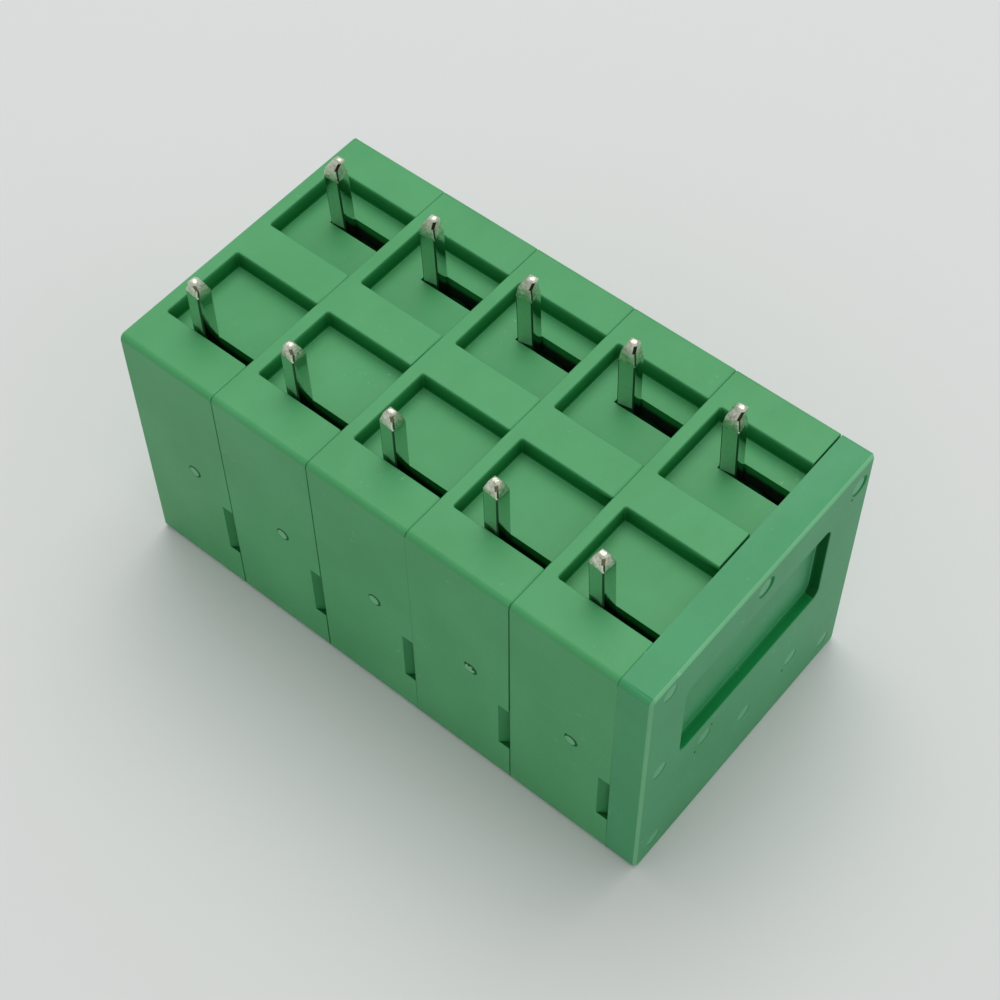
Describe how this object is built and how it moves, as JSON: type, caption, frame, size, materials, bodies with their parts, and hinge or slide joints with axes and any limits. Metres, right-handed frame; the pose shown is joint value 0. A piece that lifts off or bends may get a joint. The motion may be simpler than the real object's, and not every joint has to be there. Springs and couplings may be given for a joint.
{
  "type": "pcb spring terminal block",
  "caption": "Modular spring-clamp terminal block for circuit boards, with tinned solder pins in pockets, round wire entries, release buttons and an end plate.",
  "frame": {"origin": "centre of the block's length and depth, on the face it lies on, which is its top when it is on a board", "axes": "+Z along the solder pins, away from the block; +X along the row of poles, towards the end plate; +Y out of the wire entries"},
  "size_m": [0.0264, 0.0142, 0.0162],
  "materials": {
    "housing_green": "moulded polyamide, satin",
    "end_plate_green": "moulded polyamide, satin",
    "button_green": "moulded polyamide, satin",
    "tinned_contact": "tin plated",
    "spring_steel": "bright strip"
  },
  "bodies": {
    "block": {"housing_1": "housing_green", "housing_2": "housing_green", "housing_3": "housing_green", "housing_4": "housing_green", "housing_5": "housing_green", "contact_1": "tinned_contact", "contact_2": "tinned_contact", "contact_3": "tinned_contact", "contact_4": "tinned_contact", "contact_5": "tinned_contact", "clamp_spring_1": "spring_steel", "clamp_spring_2": "spring_steel", "clamp_spring_3": "spring_steel", "clamp_spring_4": "spring_steel", "clamp_spring_5": "spring_steel", "end_plate": "end_plate_green"},
    "button_1": {"release_button_1": "button_green"},
    "button_2": {"release_button_2": "button_green"},
    "button_3": {"release_button_3": "button_green"},
    "button_4": {"release_button_4": "button_green"},
    "button_5": {"release_button_5": "button_green"}
  },
  "joints": [
    {"name": "button_1_press", "type": "slide", "parent": "block", "child": "button_1", "axis": [0, -1, 0], "range_m": [0, 0.0012], "stiffness_N_per_m": 2000, "springref_m": -0.0008, "deforming": ["clamp_spring_1"]},
    {"name": "button_2_press", "type": "slide", "parent": "block", "child": "button_2", "axis": [0, -1, 0], "range_m": [0, 0.0012], "stiffness_N_per_m": 2000, "springref_m": -0.0008, "deforming": ["clamp_spring_2"]},
    {"name": "button_3_press", "type": "slide", "parent": "block", "child": "button_3", "axis": [0, -1, 0], "range_m": [0, 0.0012], "stiffness_N_per_m": 2000, "springref_m": -0.0008, "deforming": ["clamp_spring_3"]},
    {"name": "button_4_press", "type": "slide", "parent": "block", "child": "button_4", "axis": [0, -1, 0], "range_m": [0, 0.0012], "stiffness_N_per_m": 2000, "springref_m": -0.0008, "deforming": ["clamp_spring_4"]},
    {"name": "button_5_press", "type": "slide", "parent": "block", "child": "button_5", "axis": [0, -1, 0], "range_m": [0, 0.0012], "stiffness_N_per_m": 2000, "springref_m": -0.0008, "deforming": ["clamp_spring_5"]}
  ]
}
